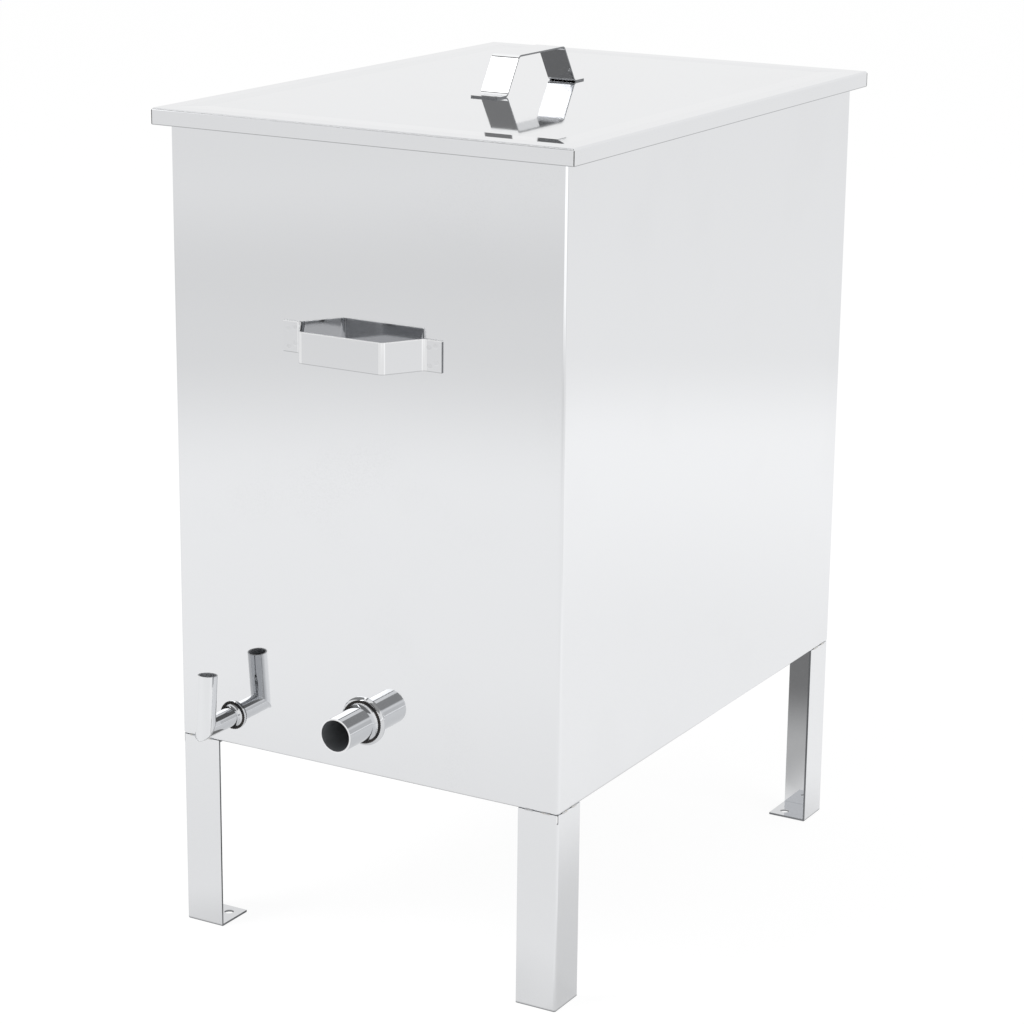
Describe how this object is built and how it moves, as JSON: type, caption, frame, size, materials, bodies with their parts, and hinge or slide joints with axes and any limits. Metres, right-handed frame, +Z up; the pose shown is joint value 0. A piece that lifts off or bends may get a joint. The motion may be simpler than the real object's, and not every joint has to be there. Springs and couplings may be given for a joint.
{
  "type": "wax melter",
  "caption": "Rectangular stainless steam wax melter on folded legs, with lift-off lid, strap handles, comb basket, sloping wax tray, front wax outlet and water-filling elbow.",
  "frame": {"origin": "on the floor, at the middle of the rectangle of the four foot holes", "axes": "+Z up, +X to the right along the front wall as seen from the front, +Y from the front wall with the outlet to the rear wall"},
  "size_m": [0.423, 0.6591, 0.8049],
  "materials": {
    "bright_sheet": "bright annealed, nearly a mirror",
    "polished_strap": "polished strip",
    "polished_tube": "polished drawn tube",
    "inner_sheet": "satin",
    "bright_wire": "drawn wire"
  },
  "bodies": {
    "tank": {"tank_wrap": "bright_sheet", "tank_floor": "bright_sheet", "leg_front_left": "bright_sheet", "leg_front_right": "bright_sheet", "leg_rear_left": "bright_sheet", "leg_rear_right": "bright_sheet", "front_handle": "polished_strap", "rear_handle": "polished_strap", "outlet_tube": "polished_tube", "fill_spigot": "polished_tube", "fill_riser": "polished_tube", "wax_tray": "inner_sheet", "tray_stand_front": "inner_sheet", "tray_stand_rear": "inner_sheet", "ledge_front_left": "inner_sheet", "ledge_front_right": "inner_sheet", "ledge_rear_left": "inner_sheet", "ledge_rear_right": "inner_sheet"},
    "lid": {"lid_pan": "bright_sheet", "lid_handle": "polished_strap"},
    "basket": {"basket_floor": "inner_sheet", "basket_front": "inner_sheet", "basket_rear": "inner_sheet", "basket_left": "inner_sheet", "basket_right": "inner_sheet", "basket_rim": "bright_wire", "bail_ears_front": "inner_sheet", "bail_ears_rear": "inner_sheet"},
    "front_bail": {"bail_front": "bright_wire"},
    "rear_bail": {"bail_rear": "bright_wire"}
  },
  "joints": [
    {"name": "lid_lift", "type": "slide", "parent": "tank", "child": "lid", "axis": [0, 0, 1], "range_m": [0, 0.64]},
    {"name": "basket_lift", "type": "slide", "parent": "tank", "child": "basket", "axis": [0, 0, 1], "range_m": [0, 0.48]},
    {"name": "front_bail_swing", "type": "hinge", "parent": "basket", "child": "front_bail", "pos_m": [0, -0.2588, 0.6212], "axis": [1, 0, 0], "range_deg": [0, 180]},
    {"name": "rear_bail_swing", "type": "hinge", "parent": "basket", "child": "rear_bail", "pos_m": [0, 0.2588, 0.6212], "axis": [-1, 0, 0], "range_deg": [0, 180]}
  ],
  "couplings": [
    {"joint": "basket_lift", "follows": "lid_lift", "ratio": 0.75}
  ]
}
